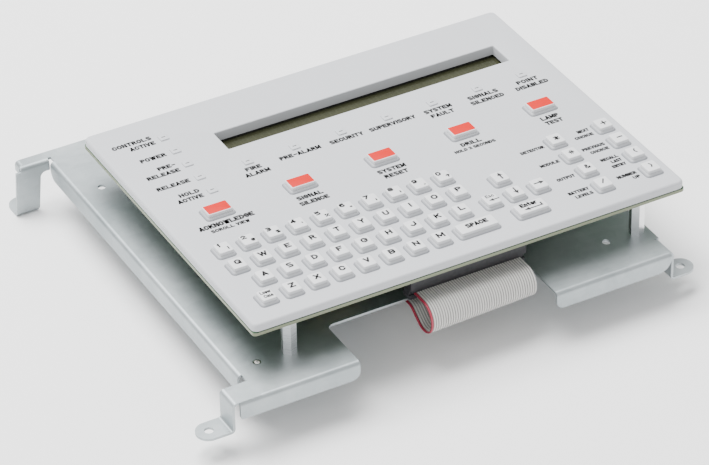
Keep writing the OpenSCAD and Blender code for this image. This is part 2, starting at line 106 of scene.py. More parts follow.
class Mat:
    """A node material under construction: its shader, and one way to add any node."""

    def __init__(self, name, roughness=0.5, metallic=0.0, **fixed):
        self.data = bpy.data.materials.new(name)
        self.data.use_nodes = True
        self.tree = self.data.node_tree
        self.shader = self.tree.nodes["Principled BSDF"]
        self.shader.inputs["Roughness"].default_value = roughness
        self.shader.inputs["Metallic"].default_value = metallic
        for key, value in fixed.items():
            self.shader.inputs[key.replace("_", " ")].default_value = value

    def node(self, kind, settings=None, values=(), out=0):
        made = self.tree.nodes.new(kind)
        for key, value in (settings or {}).items():
            if key == "stops":
                ramp = made.color_ramp
                while len(ramp.elements) < len(value):
                    ramp.elements.new(0.5)
                for element, (place, colour) in zip(ramp.elements, value):
                    element.position = place
                    element.color = (*colour, 1)
            else:
                setattr(made, key, value)
        pairs = values.items() if isinstance(values, dict) else enumerate(values)
        for key, value in pairs:
            if value is None:
                continue
            if isinstance(value, Sock):
                self.tree.links.new(value.socket, made.inputs[key])
            else:
                made.inputs[key].default_value = value
        return Sock(self, made.outputs[out])

    def place(self):
        return self.node("ShaderNodeTexCoord", out="Object")

    def axes(self):
        split = self.node("ShaderNodeSeparateXYZ", None, [self.place()])
        outs = split.socket.node.outputs
        return [Sock(self, outs[k]) for k in range(3)]

    def stretched(self, scale):
        return self.node("ShaderNodeMapping", None, {"Vector": self.place(), "Scale": scale})

    def noise(self, scale, detail=3.0, where=None, out="Fac"):
        return self.node("ShaderNodeTexNoise", None,
                         {"Vector": where or self.place(), "Scale": scale, "Detail": detail}, out)

    def mix(self, mask, first, second):
        made = self.tree.nodes.new("ShaderNodeMix")
        made.data_type = "RGBA"
        for index, value in ((0, mask), (6, first), (7, second)):
            if isinstance(value, Sock):
                self.tree.links.new(value.socket, made.inputs[index])
            else:
                made.inputs[index].default_value = value if index == 0 else (*value, 1)
        return Sock(self, made.outputs[2])

    def set(self, name, value):
        self.tree.links.new(value.socket, self.shader.inputs[name])
        return self

    def bump(self, height, distance, strength=1.0):
        made = self.node("ShaderNodeBump", None,
                         {"Strength": strength, "Distance": distance, "Height": height})
        return self.set("Normal", made)


def finish_node(name, mat):
    """Gives a CAD node its material."""
    slots = NODES[name].data.materials
    slots.clear()
    slots.append(mat.data)


def speckled(name, dark, light, scale, roughness=0.5, grain=0.0, spread=0.06, **fixed):
    """A finish whose colour and roughness wander a little, with an optional fine grain."""
    mat = Mat(name, roughness, **fixed)
    cloud = mat.noise(scale, 4.0)
    mat.set("Base Color", mat.mix(cloud.ramp(0.3, 0.7), dark, light))
    mat.set("Roughness", mat.noise(scale * 2.7).ramp(0.3, 0.7, roughness - spread,
                                                     roughness + spread))
    if grain:
        mat.bump(mat.noise(scale * 25, 2.0), grain)
    return mat


zinc = Mat("zinc_sheet", roughness=0.45, metallic=0.86)
rolled = zinc.noise(900.0, 3.0, zinc.stretched((0.12, 1.0, 1.0)))
cloudy = zinc.noise(28.0, 5.0)
flakes = zinc.node("ShaderNodeTexVoronoi", None,
                   {"Vector": zinc.place(), "Scale": 240.0}, "Color")
flake = zinc.node("ShaderNodeSeparateXYZ", None, [flakes])
tone = cloudy.ramp(0.25, 0.75) * 0.7 + flake * 0.12 + rolled * 0.18
zinc.set("Base Color", zinc.mix(tone, (0.25, 0.29, 0.305), (0.50, 0.535, 0.545)))
zinc.set("Roughness", cloudy * 0.14 + rolled * 0.1 + 0.36)
zinc.bump(rolled, 0.00002, 0.35)
finish_node("mounting_bracket", zinc)


# ---- Nut, screws and standoffs ----
# Turned aluminium hex standoffs, and bright-plated steel screws with crossed slots.
# Pressed into one plate hole is a plated clinch nut.
turned = Mat("turned_aluminium", roughness=0.3, metallic=1.0)
rings = turned.noise(1.0, 2.0, turned.stretched((20.0, 20.0, 5200.0)))
turned.set("Base Color", turned.mix(rings, (0.72, 0.72, 0.73), (0.88, 0.88, 0.89)))
turned.set("Roughness", rings * 0.2 + 0.2)
turned.bump(rings, 0.00001, 0.5)
for name in ("hex_standoffs", "lcd_spacers"):
    finish_node(name, turned)
plated = speckled("bright_plate", (0.58, 0.58, 0.56), (0.82, 0.81, 0.78), 650.0, 0.26,
                  metallic=1.0)
for name in ("upper_screws", "lower_screws", "lcd_screws", "clinch_nut"):
    finish_node(name, plated)


# ---- Circuit board and display board ----
# Fibreglass laminate under green solder mask, with bare olive edges where it was routed.
# Copper lanes show as slightly lighter, raised bands under the mask.
laminate = Mat("board_laminate", roughness=0.38, Coat_Weight=0.2)
lanes = laminate.node("ShaderNodeTexBrick", {"offset": 0.37, "squash": 1.6},
                      {"Vector": laminate.place(), "Scale": 1.0, "Mortar Size": 0.0006,
                       "Brick Width": 0.031, "Row Height": 0.0042}, "Fac")
weave = laminate.noise(2600.0, 1.0)
mask_green = laminate.mix(lanes, (0.045, 0.105, 0.055), (0.075, 0.15, 0.08))
facing = laminate.node("ShaderNodeSeparateXYZ", None,
                       [laminate.node("ShaderNodeNewGeometry", out="Normal")])
up_down = Sock(laminate, facing.socket.node.outputs[2]).math("ABSOLUTE")
edge_olive = laminate.mix(weave, (0.12, 0.145, 0.075), (0.18, 0.205, 0.12))
laminate.set("Base Color", laminate.mix(up_down.above(0.5), edge_olive, mask_green))
laminate.bump(lanes, 0.00004, 0.6)
for name in ("circuit_board", "lcd_board"):
    finish_node(name, laminate)


# ---- Keypad mat ----
# One sheet of white silicone moulded over the whole board, with rounded shoulders, a
# window for the display and a pocket for every key. Fine matte moulding texture.
BOARD_TOP = 47.65
MAT_TOP = 51.8
MAT_W, MAT_D = 225.0, 174.2
MAT_C = (12.2, -120.2)
SKIRT = 1.3
SHEET_BOTTOM = BOARD_TOP + 0.12
POCKET_DEPTH = 3.75
POCKET_CORNER = 1.95
WINDOW_ROUND = 0.65
WINDOW_FOOT = 46.62
KEY_W, KEY_D = 7.0, 7.8
RED_W, RED_D = 12.6, 7.9


def round_rect(cx, cy, w, d, r, n=5):
    """Corner points of a rectangle with round corners, anticlockwise."""
    points = []
    for sx, sy, start in ((1, 1, 0), (-1, 1, 90), (-1, -1, 180), (1, -1, 270)):
        for k in range(n + 1):
            a = math.radians(start + 90 * k / n)
            points.append((cx + sx * (w / 2 - r) + r * math.cos(a),
                           cy + sy * (d / 2 - r) + r * math.sin(a)))
    return points


def add_ring(bm, points, z):
    return [bm.verts.new((x * MM, y * MM, z * MM)) for x, y in points]


def bridge(bm, low, high, inward=False):
    """Side faces between two rings of equal length; the first ring is the lower one."""
    n = len(low)
    made = []
    for k in range(n):
        quad = [low[k], low[(k + 1) % n], high[(k + 1) % n], high[k]]
        made.append(bm.faces.new(quad[::-1] if inward else quad))
    return made


def fill_between(bm, outer, holes, down=False):
    """Flat faces that fill a ring of points around its holes."""
    edges = []
    for ring in [outer, *holes]:
        for k in range(len(ring)):
            pair = (ring[k], ring[(k + 1) % len(ring)])
            edges.append(bm.edges.get(pair) or bm.edges.new(pair))
    made = bmesh.ops.triangle_fill(bm, use_beauty=True, edges=edges)["geom"]
    for face in made:
        if isinstance(face, bmesh.types.BMFace):
            face.normal_update()
            if (face.normal.z < 0) != down:
                face.normal_flip()


def piece(name, bm, mats, body, smooth_angle=40):
    """Turns a finished bmesh into an object that rides on a body."""
    mesh = bpy.data.meshes.new(name)
    bm.to_mesh(mesh)
    bm.free()
    for mat in mats:
        mesh.materials.append(mat.data)
    obj = bpy.data.objects.new(name, mesh)
    bpy.context.scene.collection.objects.link(obj)
    for polygon in mesh.polygons:
        polygon.use_smooth = True
    mesh.set_sharp_from_angle(angle=math.radians(smooth_angle))
    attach(obj, body)
    return obj


KEY_X0, KEY_Y0 = -86.0, -150.5
PX, PY = 12.7, 13.97


def row_y(r):
    return KEY_Y0 - r * PY


def key_at(i, r, shift=0.0):
    return (KEY_X0 + i * PX + shift, row_y(r))


CURSOR_X = 50.5
key_table = {}
for i, name in enumerate(["1", "2", "3", "4", "5", "6", "7", "8", "9", "0"]):
    key_table["key_" + name] = [key_at(i, 0)]
key_table["letters_upper_row"] = [key_at(i, 1) for i in range(10)]
key_table["letters_home_row"] = [key_at(i, 2, PX / 2) for i in range(9)]
key_table["letters_lower_row"] = [key_at(i, 3) for i in range(1, 8)]
key_table["key_lower_case"] = [key_at(0, 3)]
key_table["key_up"] = [(CURSOR_X, row_y(1))]
key_table["key_down"] = [(CURSOR_X, row_y(2))]
key_table["key_right"] = [(CURSOR_X + PX, row_y(2))]
key_table["key_escape"] = [(CURSOR_X - PX, row_y(2))]
for r, names in enumerate((("star", "plus"), ("hash", "minus"),
                           ("ampersand", "open_bracket"), ("slash", "close_bracket"))):
    key_table["key_" + names[0]] = [(89.3, row_y(r))]
    key_table["key_" + names[1]] = [(115.4, row_y(r))]
wide_table = {"key_space": ((KEY_X0 + 8 * PX + 6.15, row_y(3)), 19.3),
              "key_enter": ((CURSOR_X, row_y(3)), 15.0)}
red_names = ["acknowledge_button", "silence_button", "reset_button", "drill_button",
             "lamp_test_button"]
red_table = {n: (-74.0 + 43.18 * i, -120.9) for i, n in enumerate(red_names)}

lamps = [(-68.0, -53.1 - 12.7 * i) for i in range(5)]
lamps += [(-42.9 + 24.82 * i, -91.2) for i in range(7)]

silicone = Mat("white_silicone", roughness=0.55)
mould = silicone.noise(1400.0, 2.0)
soft_cloud = silicone.noise(14.0, 3.0)
silicone.set("Base Color", silicone.mix(soft_cloud, (0.470, 0.482, 0.505),
                                        (0.510, 0.522, 0.542)))
silicone.set("Roughness", soft_cloud * 0.1 + 0.5)
silicone.bump(mould, 0.00003, 0.5)

bm = bmesh.new()
shoulder = 1.4
flat = add_ring(bm, round_rect(*MAT_C, MAT_W - 2 * shoulder, MAT_D - 2 * shoulder, 1.6), MAT_TOP)
ring = flat
for k in range(1, 8):
    a = math.radians(90 * k / 7)
    out = shoulder * math.sin(a)
    low = add_ring(bm, round_rect(*MAT_C, MAT_W - 2 * (shoulder - out),
                                  MAT_D - 2 * (shoulder - out), 1.6 + out * 0.9),
                   MAT_TOP - shoulder * (1 - math.cos(a)))
    bridge(bm, low, ring)
    ring = low
skirt_low = add_ring(bm, round_rect(*MAT_C, MAT_W, MAT_D, 2.86), BOARD_TOP + 0.35)
bridge(bm, skirt_low, ring)
under = add_ring(bm, round_rect(*MAT_C, MAT_W - 0.9, MAT_D - 0.9, 2.5), SHEET_BOTTOM)
bridge(bm, under, skirt_low)
pockets = []
for centre in [p for ps in key_table.values() for p in ps]:
    pockets.append((centre, KEY_W, KEY_D))
for centre, w in wide_table.values():
    pockets.append((centre, w, KEY_D))
for centre in red_table.values():
    pockets.append((centre, RED_W, RED_D))
rims = []
for (cx, cy), w, d in pockets:
    w, d = w + 2 * SKIRT + 0.1, d + 2 * SKIRT + 0.1
    rim = add_ring(bm, round_rect(cx, cy, w, d, POCKET_CORNER), MAT_TOP)
    base = add_ring(bm, round_rect(cx, cy, w, d, POCKET_CORNER), MAT_TOP - POCKET_DEPTH)
    bridge(bm, base, rim, inward=True)
    bm.faces.new(base)
    rims.append(rim)
WIN_C, WIN_W, WIN_D = (31.25, -69.1), 153.3, 15.4
WIN_RIM_W, WIN_RIM_D = WIN_W + 2 * WINDOW_ROUND, WIN_D + 2 * WINDOW_ROUND
rim = add_ring(bm, round_rect(*WIN_C, WIN_RIM_W, WIN_RIM_D, 1.0), MAT_TOP)
rims.append(rim)
for k in range(1, 5):
    a = math.radians(90 * k / 4)
    inset = WINDOW_ROUND * math.sin(a)
    low = add_ring(bm, round_rect(*WIN_C, WIN_RIM_W - 2 * inset, WIN_RIM_D - 2 * inset,
                                  1.0 - inset * 0.9),
                   MAT_TOP - WINDOW_ROUND * (1 - math.cos(a)))
    bridge(bm, low, rim, inward=True)
    rim = low
foot = add_ring(bm, round_rect(*WIN_C, WIN_W, WIN_D, 0.415), WINDOW_FOOT)
bridge(bm, foot, rim, inward=True)
lip = add_ring(bm, round_rect(*WIN_C, WIN_W + 4.2, WIN_D + 3.4, 1.2), WINDOW_FOOT)
fill_between(bm, lip, [foot], down=True)
lip_top = add_ring(bm, round_rect(*WIN_C, WIN_W + 4.2, WIN_D + 3.4, 1.2), SHEET_BOTTOM)
bridge(bm, lip, lip_top)
fill_between(bm, flat, rims)
fill_between(bm, under, [lip_top], down=True)
mat_piece = piece("keypad_sheet", bm, [silicone], "panel")
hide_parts("keypad_mat")


# ---- Lamp windows ----
# Over each status lamp the silicone rises in a low square pillow with a slot that lets the light
# out. The slot is not cut; a thin dark film on the pillow stands for it, its colour painted shade
# in the opening, a small dark dash while the lamp is off.
def group_input(tree, name, kind, value=None):
    made = tree.interface.new_socket(name=name, in_out="INPUT", socket_type=kind)
    if value is not None:
        made.default_value = value
    return made


def repeat_tree(name):
    """A node tree that sets a copy of one shape on every point of a mesh."""
    tree = bpy.data.node_groups.new(name, "GeometryNodeTree")
    group_input(tree, "Points", "NodeSocketGeometry")
    group_input(tree, "Shape", "NodeSocketObject")
    group_input(tree, "Size", "NodeSocketFloat", 1.0)
    group_input(tree, "Finish", "NodeSocketMaterial")
    tree.interface.new_socket(name="Geometry", in_out="OUTPUT",
                              socket_type="NodeSocketGeometry")
    nodes, links = tree.nodes, tree.links
    inp = nodes.new("NodeGroupInput")
    outp = nodes.new("NodeGroupOutput")
    info = nodes.new("GeometryNodeObjectInfo")
    spread = nodes.new("GeometryNodeInstanceOnPoints")
    real = nodes.new("GeometryNodeRealizeInstances")
    paint = nodes.new("GeometryNodeSetMaterial")
    links.new(inp.outputs["Shape"], info.inputs["Object"])
    links.new(inp.outputs["Points"], spread.inputs["Points"])
    links.new(info.outputs["Geometry"], spread.inputs["Instance"])
    links.new(inp.outputs["Size"], spread.inputs["Scale"])
    links.new(spread.outputs["Instances"], real.inputs["Geometry"])
    links.new(real.outputs["Geometry"], paint.inputs["Geometry"])
    links.new(inp.outputs["Finish"], paint.inputs["Material"])
    links.new(paint.outputs["Geometry"], outp.inputs["Geometry"])
    return tree


repeat = repeat_tree("set_on_points")


def repeated(name, shape_bm, points, mat, body, smooth_angle=40):
    """Copies of a small shape at points in mm, as one plain mesh that rides on a body."""
    shape_mesh = bpy.data.meshes.new(name + "_shape")
    shape_bm.to_mesh(shape_mesh)
    shape_bm.free()
    shape = bpy.data.objects.new(name + "_shape", shape_mesh)
    dots = bpy.data.meshes.new(name + "_points")
    dots.from_pydata([(x * MM, y * MM, z * MM) for x, y, z in points], [], [])
    holder = bpy.data.objects.new(name + "_holder", dots)
    for obj in (shape, holder):
        bpy.context.scene.collection.objects.link(obj)
    modifier = holder.modifiers.new("set", "NODES")
    modifier.node_group = repeat
    for item in repeat.interface.items_tree:
        if item.item_type == "SOCKET" and item.in_out == "INPUT":
            if item.name == "Shape":
                modifier[item.identifier] = shape
            if item.name == "Finish":
                modifier[item.identifier] = mat.data
    graph = bpy.context.evaluated_depsgraph_get()
    mesh = bpy.data.meshes.new_from_object(holder.evaluated_get(graph))
    mesh.name = name
    for obj in (holder, shape):
        bpy.data.objects.remove(obj)
    made = bpy.data.objects.new(name, mesh)
    bpy.context.scene.collection.objects.link(made)
    for polygon in mesh.polygons:
        polygon.use_smooth = True
    mesh.set_sharp_from_angle(angle=math.radians(smooth_angle))
    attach(made, body)
    return made


def lofted(rings):
    """A closed shape from rings of (width, depth, corner radius, height), low to high."""
    made = bmesh.new()
    loops = [add_ring(made, round_rect(0, 0, w, d, r, 4), z) for w, d, r, z in rings]
    for low, high in zip(loops, loops[1:]):
        bridge(made, low, high)
    made.faces.new(loops[-1])
    made.faces.new(loops[0][::-1])
    return made


pillow = lofted([(4.6, 4.6, 0.5, -0.3), (4.6, 4.6, 0.5, 0.1), (4.5, 4.5, 0.45, 0.52),
                 (4.3, 4.3, 0.4, 0.62), (4.0, 4.0, 0.3, 0.66)])
repeated("lamp_pillows", pillow, [(x, y, MAT_TOP) for x, y in lamps], silicone, "panel",
         70)
# Painted shade: the near-black colour of the dash film stands for the shadow inside each lamp's
# slot.
slot_shade = speckled("slot_shadow", (0.06, 0.06, 0.065), (0.10, 0.10, 0.105), 900.0, 0.6)
dash = lofted([(2.1, 0.6, 0.28, 0.56), (2.1, 0.6, 0.28, 0.69)])
repeated("lamp_slots", dash, [(x, y, MAT_TOP) for x, y in lamps], slot_shade, "panel", 40)
lens = speckled("lamp_lens", (0.72, 0.70, 0.64), (0.84, 0.82, 0.76), 500.0, 0.3)
finish_node("status_leds", lens)


# ---- Keys ----
# Silicone domes with flat rectangular heads: a soft collar rises from the mat to the
# head, whose edges are rounded. The five buttons have a red top set in a white border.
key_white = Mat("key_silicone", roughness=0.5)
key_cloud = key_white.noise(180.0, 3.0)
crown = key_white.mix(key_cloud, (0.640, 0.648, 0.662), (0.680, 0.688, 0.700))
# Painted shade: each key's collar low by the mat is coloured dark grey, a painted shadow ring
# round the key, ramping up to the lighter crown above.
collar_shade_ramp = key_white.axes()[2].ramp((MAT_TOP + 0.3) * MM, (MAT_TOP + 1.9) * MM)
key_white.set("Base Color", key_white.mix(collar_shade_ramp, (0.25, 0.26, 0.28), crown))
key_white.set("Roughness", key_cloud * 0.12 + 0.44)
key_white.bump(key_white.noise(1500.0, 2.0), 0.00002, 0.5)
key_red = Mat("red_silicone", roughness=0.5, Specular_IOR_Level=0.2)
red_cloud = key_red.noise(160.0, 3.0)
key_red.set("Base Color", key_red.mix(red_cloud, (0.52, 0.006, 0.003), (0.60, 0.011, 0.006)))
key_red.set("Roughness", red_cloud * 0.1 + 0.42)


def key_rings(w, d):
    """Rings of a key from its skirt up to its crown, about the mat's surface."""
    s = SKIRT
    return [(w + 2 * s, d + 2 * s, 1.9, -2.4), (w + 2 * s, d + 2 * s, 1.9, -0.1),
            (w + 2 * s - 0.1, d + 2 * s - 0.1, 1.85, 0.02),
            (w + 2 * s - 0.55, d + 2 * s - 0.55, 1.7, 0.3),
            (w + 1.2, d + 1.2, 1.35, 0.72), (w + 0.45, d + 0.45, 1.0, 0.92),
            (w + 0.08, d + 0.08, 0.85, 1.02), (w, d, 0.8, 1.12), (w - 0.1, d - 0.1, 0.78, 2.42),
            (w - 0.2, d - 0.2, 0.74, 2.62), (w - 0.44, d - 0.44, 0.66, 2.75),
            (w - 0.85, d - 0.85, 0.5, 2.8)]


for name, centres in key_table.items():
    keys = repeated(name + "_key", lofted(key_rings(KEY_W, KEY_D)),
                    [(x, y, MAT_TOP) for x, y in centres], key_white, name + "_body", 60)
    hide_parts(name)
for name, (centre, w) in wide_table.items():
    keys = repeated(name + "_key", lofted(key_rings(w, KEY_D)), [(*centre, MAT_TOP)],
                    key_white, name + "_body", 60)
    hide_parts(name)
for name, centre in red_table.items():
    keys = repeated(name + "_key", lofted(key_rings(RED_W, RED_D)), [(*centre, MAT_TOP)],
                    key_white, name + "_body", 60)
    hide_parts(name)
    cap = lofted([(RED_W - 1.0, RED_D - 1.0, 0.5, 2.7), (RED_W - 1.0, RED_D - 1.0, 0.5, 2.81),
                  (RED_W - 1.2, RED_D - 1.2, 0.45, 2.84)])
    repeated(name + "_cap", cap, [(*centre, MAT_TOP)], key_red, name + "_body", 40)


# ---- Legends ----
# Black marks printed on the keys and the mat: letters, figures, arrows, and plain words
# that say what each lamp and button does. The ink is a thin, slightly raised film.
KEY_TOP = MAT_TOP + 2.8
FILM_ABOVE, FILM_BELOW = 0.03, 0.02
LETTER_GAP, WORD_GAP = 0.12, 0.45
ink = speckled("printing_ink", (0.004, 0.004, 0.005), (0.011, 0.011, 0.012), 1100.0, 0.7)
# Letter shapes for the words: strokes on an 8 by 8 grid, each point two digits, x then y,
# an "o" at the end closing the stroke. Small letters are 6 high.
GLYPHS = {
    "A": "0048 4880 1272", "B": "0408587775540400507173 7354", "C": "867758381706021130507182",
    "D": "0008486785836140o", "E": "80000888 0464", "F": "000888 0464",
    "G": "8677583817060211305071828454", "H": "0008 8088 0484", "I": "0008",
    "J": "0211305172 7278", "K": "0008 0388 3580", "L": "080080", "M": "0008 0842 4288 8880",
    "N": "0008 0880 8088", "O": "301102061738587786827150o", "P": "00085877755404",
    "Q": "301102061738587786827150o 5380", "R": "00085877755404 4480",
    "S": "10708183642405071878", "T": "0888 4840", "U": "0802113050718288",
    "V": "0840 4088", "W": "0820 2047 4760 6088", "X": "0088 0880",
    "Y": "084488 4440", "Z": "0888 8800 0080",
    "0": "200206286886826020", "1": "1638 3830", "2": "0617385877850080",
    "3": "186887856434 6483816010", "4": "6068 6802 0282", "5": "7808056583817010",
    "6": "7828060220608283652503", "7": "0888 8820", "8": "2405072868878564o 2403012060818364o",
    "9": "1060828668280605236385", "-": "1474", "+": "0484 4048",
    "*": "4147 1276 1672", "#": "2038 5068 0383 0585", "&": "802627384857561311305083",
    "/": "0068", "(": "38151330", ")": "08252300", "!": "0803 0100",
    "@": "6443346565 6366758668280602207070", "$": "10708183642405071878 4048",
    "'": "0806", '"': "0806 3836", "%": "0088 06082806 6280", ";": "0504 0100",
    ":": "0504 0100", ",": "1100", "?": "0617385877754443 4140",
    "a": "0516466460 63230201104061", "c": "6546260402204061",
    "e": "036364462604022040 4061", "n": "0006 0426466460", "o": "2002042646646240o",
    "r": "0006 042646", "s": "011050615214051646", "t": "28213040 0656",
    "w": "0620 2045 4560 6086"}
GRID = 8
LETTER_SLIM = 0.86
LETTER_WIDTH = {"M": 1.2, "W": 1.35, "I": 1.0, "w": 1.1, "1": 0.8, "@": 1.1, "%": 1.1}


def strokes_of(glyph):
    """Strokes of one letter as lists of grid points, with True where a stroke closes."""
    for code in GLYPHS[glyph].split():
        closed = code.endswith("o")
        digits = code.rstrip("o")
        grid = [(int(digits[k]), int(digits[k + 1])) for k in range(0, len(digits) - 1, 2)]
        yield grid, closed


def words(text, x, y, z, cap, wide=None, align=0.5, bold=0.29):
    """Printed text: baseline at y, cap height and width in mm, align 0 left to 1 right."""
    pen = bold * cap
    step = (cap - pen) / GRID
    placed, at = [], 0.0
    for glyph in text:
        if glyph == " ":
            at += cap * WORD_GAP
            continue
        spread = step * LETTER_SLIM * LETTER_WIDTH.get(glyph, 1.0)
        reach = max(px for points, _ in strokes_of(glyph) for px, _ in points) * spread
        for points, closed in strokes_of(glyph):
            placed.append(([(at + pen / 2 + px * spread, pen / 2 + py * step)
                            for px, py in points], closed))
        at += reach + pen + cap * LETTER_GAP
    length = at - cap * LETTER_GAP
    stretch = (wide - pen) / (length - pen) if wide else 1.0
    left = x - align * (wide or length)
    return [(pen, closed, [(left + pen / 2 + (px - pen / 2) * stretch, y + py, z)
                           for px, py in points]) for points, closed in placed]


def outline(points, x, y, z):
    """One filled flat outline, such as an arrow, about a point."""
    return [(0, True, [(x + px, y + py, z) for px, py in points])]


def film(bm, tops, quads):
    """Adds one thin closed film: its top corners, and its top faces as corner numbers."""
    up = [bm.verts.new((px * MM, py * MM, (pz + FILM_ABOVE) * MM)) for px, py, pz in tops]
    down = [bm.verts.new((px * MM, py * MM, (pz - FILM_BELOW) * MM)) for px, py, pz in tops]
    borders = {}
    for quad in quads:
        bm.faces.new([up[k] for k in quad])
        bm.faces.new([down[k] for k in quad[::-1]])
        for a, b in zip(quad, quad[1:] + quad[:1]):
            borders[(a, b)] = (b, a) not in borders
            if (b, a) in borders:
                borders[(b, a)] = False
    for (a, b), outer in borders.items():
        if outer:
            bm.faces.new((up[b], up[a], down[a], down[b]))


def stroke(bm, pen, closed, points):
    """Adds one pen stroke with mitred corners and square ends."""
    flat = [Vector(p[:2]) for p in points]
    z = points[0][2]
    count = len(flat)
    if not closed:
        ahead = (flat[1] - flat[0]).normalized()
        behind = (flat[-1] - flat[-2]).normalized()
        flat[0] = flat[0] - ahead * pen / 2
        flat[-1] = flat[-1] + behind * pen / 2
    tops = []
    for k in range(count):
        into = flat[k] - flat[k - 1] if closed or k else flat[1] - flat[0]
        away = flat[(k + 1) % count] - flat[k] if closed or k < count - 1 else into
        into, away = into.normalized(), away.normalized()
        side = Vector((-into.y - away.y, into.x + away.x))
        side = side.normalized() if side.length > 0.2 else Vector((-into.y, into.x))
        reach = pen / 2 / max(0.55, side.dot(Vector((-into.y, into.x))))
        for sign in (1, -1):
            edge = flat[k] + side * reach * sign
            tops.append((edge.x, edge.y, z))
    ends = count if closed else count - 1
    film(bm, tops, [[2 * k + 1, 2 * ((k + 1) % count) + 1, 2 * ((k + 1) % count), 2 * k]
                    for k in range(ends)])


def print_piece(name, marks, body):
    """Joins marks into one film of ink, a few hundredths of a millimetre thick."""
    bm = bmesh.new()
    for pen, closed, points in [m for mark in marks for m in mark]:
        if pen:
            stroke(bm, pen, closed, points)
        else:
            area = sum(a[0] * b[1] - b[0] * a[1] for a, b in zip(points, points[1:] + points[:1]))
            ordered = points if area > 0 else points[::-1]
            film(bm, ordered, [list(range(len(ordered)))])
    made = piece(name, bm, [ink], body, 30)
    return made


def legend(key, marks):
    print_piece(key + "_legend", marks, key + "_body")


shifted = {"1": "!", "2": "@", "3": "$", "4": "'", "5": "%", "6": '"', "7": ";", "8": ":",
           "9": ",", "0": "?"}
for figure, sign in shifted.items():
    (x, y), = key_table["key_" + figure]
    legend("key_" + figure, [words(figure, x - 1.5, y + 0.6, KEY_TOP, 2.9),
                             words(sign, x + 1.9, y - 2.5, KEY_TOP, 2.3)])
LETTER_MM = {"I": None, "M": 3.9, "W": 4.4, "N": 3.2, "Q": 3.2, "O": 3.2, "G": 3.2}
for row, letters in (("letters_upper_row", "QWERTYUIOP"), ("letters_home_row", "ASDFGHJKL"),
                     ("letters_lower_row", "ZXCVBNM")):
    legend(row, [words(letter, x + 0.35, y - 1.1, KEY_TOP, 3.5, LETTER_MM.get(letter, 3.0),
                       bold=0.26)
                 for letter, (x, y) in zip(letters, key_table[row])])
for name, sign, cap in (("star", "*", 4.0), ("hash", "#", 3.2), ("ampersand", "&", 3.4),
                        ("slash", "/", 3.4), ("plus", "+", 3.6), ("minus", "-", 4.2),
                        ("open_bracket", "(", 3.4), ("close_bracket", ")", 3.4)):
    (x, y), = key_table["key_" + name]
    legend("key_" + name, [words(sign, x + 0.3, y - {"*": 2.0, "+": 1.8, "-": 2.1}.get(sign, 1.2),
                                 KEY_TOP, cap, bold=0.15 if sign == "#" else 0.2)])
arrow = [(-0.4, -2.7), (0.4, -2.7), (0.4, 0.3), (1.35, 0.1), (0.0, 2.7), (-1.35, 0.1),
         (-0.4, 0.3)]
(x, y), = key_table["key_up"]
legend("key_up", [outline(arrow, x + 0.4, y + 0.2, KEY_TOP)])
(x, y), = key_table["key_down"]
legend("key_down", [outline([(px, -py) for px, py in arrow][::-1], x + 0.4, y + 0.2, KEY_TOP)])
(x, y), = key_table["key_right"]
legend("key_right", [outline([(py, -px) for px, py in arrow], x + 0.3, y + 0.4, KEY_TOP)])
(x, y), = key_table["key_escape"]
legend("key_escape", [words("Esc", x + 0.3, y + 1.25, KEY_TOP, 2.2, 4.2, bold=0.2),
                      outline([(-py, px * 0.8) for px, py in arrow], x + 0.9, y - 0.9, KEY_TOP)])
(x, y), w = wide_table["key_enter"]
hook = [(-5.4, 0), (-2.2, 1.2), (-2.5, 0.35), (3.8, 0.35), (3.8, 2.1), (4.6, 2.1),
        (4.6, -0.4), (-2.5, -0.4), (-2.2, -1.2)]
legend("key_enter", [words("Enter", x - 0.4, y + 0.35, KEY_TOP, 3.0, 8.8),
                     outline(hook, x + 1.0, y - 1.5, KEY_TOP)])
(x, y), w = wide_table["key_space"]
legend("key_space", [words("SPACE", x + 0.4, y - 0.9, KEY_TOP, 3.1, 11.3)])
(x, y), = key_table["key_lower_case"]
legend("key_lower_case", [words("Lower", x + 0.3, y + 0.7, KEY_TOP, 2.2, 5.4, bold=0.2),
                          words("Case", x + 0.4, y - 2.3, KEY_TOP, 2.2, 4.5, bold=0.2)])

printed = []


def label(lines, x, y, cap=3.1, align=0.5, pitch=4.6):
    """Words on the mat; y is the first line's baseline, each line (text, width)."""
    for k, (text, wide) in enumerate(lines):
        printed.append(words(text, x, y - pitch * k, MAT_TOP, cap, wide, align))


PLAIN = -73.1
label([("CONTROLS", 20.2), ("ACTIVE", 13.1)], PLAIN, -51.4, align=1)
label([("POWER", 13.3)], PLAIN, -67.5, align=1)
label([("PRE-", 9.1), ("RELEASE", 17.0)], PLAIN, -77.2, align=1, pitch=5.0)
label([("RELEASE", 17.0)], PLAIN, -92.4, align=1)
label([("HOLD", 10.4), ("ACTIVE", 13.1)], PLAIN, -102.1, align=1, pitch=4.4)
for k, lines in enumerate(([("FIRE", 8.2), ("ALARM", 12.9)], [("PRE-ALARM", 21.7)],
                           [("SECURITY", 17.8)], [("SUPERVISORY", 24.8)],
                           [("SYSTEM", 14.7), ("FAULT", 12.4)],
                           [("SIGNALS", 16.3), ("SILENCED", 18.1)],
                           [("POINT", 11.6), ("DISABLED", 17.8)])):
    label(lines, lamps[5 + k][0], -98.4)
label([("ACKNOWLEDGE", 28.1)], -73.8, -131.3, cap=3.4)
label([("SCROLL VIEW", 19.6)], -73.8, -135.0, cap=2.4)
label([("SIGNAL", 13.4), ("SILENCE", 15.0)], -30.85, -131.7)
label([("SYSTEM", 14.7), ("RESET", 12.4)], 12.4, -131.7)
label([("DRILL", 10.9)], 55.4, -131.3)
label([("HOLD 2 SECONDS", 22.0)], 55.4, -134.9, cap=2.3)
label([("LAMP", 9.6), ("TEST", 9.3)], 98.6, -131.4, pitch=4.3)
for text, wide, y in (("DETECTOR", 12.7, -151.4), ("MODULE", 10.4, -165.2),
                      ("OUTPUT", 9.6, -178.9), ("BATTERY", 10.9, -191.1),
                      ("LEVELS", 9.3, -195.0)):
    label([(text, wide)], 83.1, y, cap=2.4, align=1)
